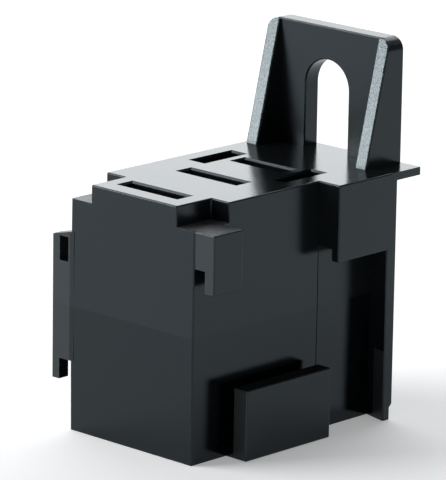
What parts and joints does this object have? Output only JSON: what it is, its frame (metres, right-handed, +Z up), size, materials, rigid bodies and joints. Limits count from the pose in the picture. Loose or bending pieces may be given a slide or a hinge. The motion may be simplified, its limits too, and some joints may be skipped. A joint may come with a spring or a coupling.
{
  "type": "relay socket",
  "caption": "Plug-in relay socket with blade contacts in a moulded housing, side rails for ganging and a slotted mounting tab.",
  "frame": {"origin": "bottom centre of the bounding box, on the wire-side face", "axes": "+Z up towards the relay side, +Y towards the mounting tab, +X towards the side with the hooked lips"},
  "size_m": [0.0216, 0.0288, 0.0372],
  "materials": {
    "black_nylon": "fine grained moulded satin",
    "contact_brass": "stamped strip"
  },
  "bodies": {
    "housing": {"socket_housing": "black_nylon"},
    "contact_30": {"contact_30": "contact_brass"},
    "contact_87a": {"contact_87a": "contact_brass"},
    "contact_87": {"contact_87": "contact_brass"},
    "contact_85": {"contact_85": "contact_brass"},
    "contact_86": {"contact_86": "contact_brass"}
  },
  "joints": [
    {"name": "contact_30_withdraw", "type": "slide", "parent": "housing", "child": "contact_30", "axis": [0, 0, -1], "range_m": [0, 0.0225]},
    {"name": "contact_87a_withdraw", "type": "slide", "parent": "housing", "child": "contact_87a", "axis": [0, 0, -1], "range_m": [0, 0.0225]},
    {"name": "contact_87_withdraw", "type": "slide", "parent": "housing", "child": "contact_87", "axis": [0, 0, -1], "range_m": [0, 0.0225]},
    {"name": "contact_85_withdraw", "type": "slide", "parent": "housing", "child": "contact_85", "axis": [0, 0, -1], "range_m": [0, 0.0225]},
    {"name": "contact_86_withdraw", "type": "slide", "parent": "housing", "child": "contact_86", "axis": [0, 0, -1], "range_m": [0, 0.0225]}
  ]
}
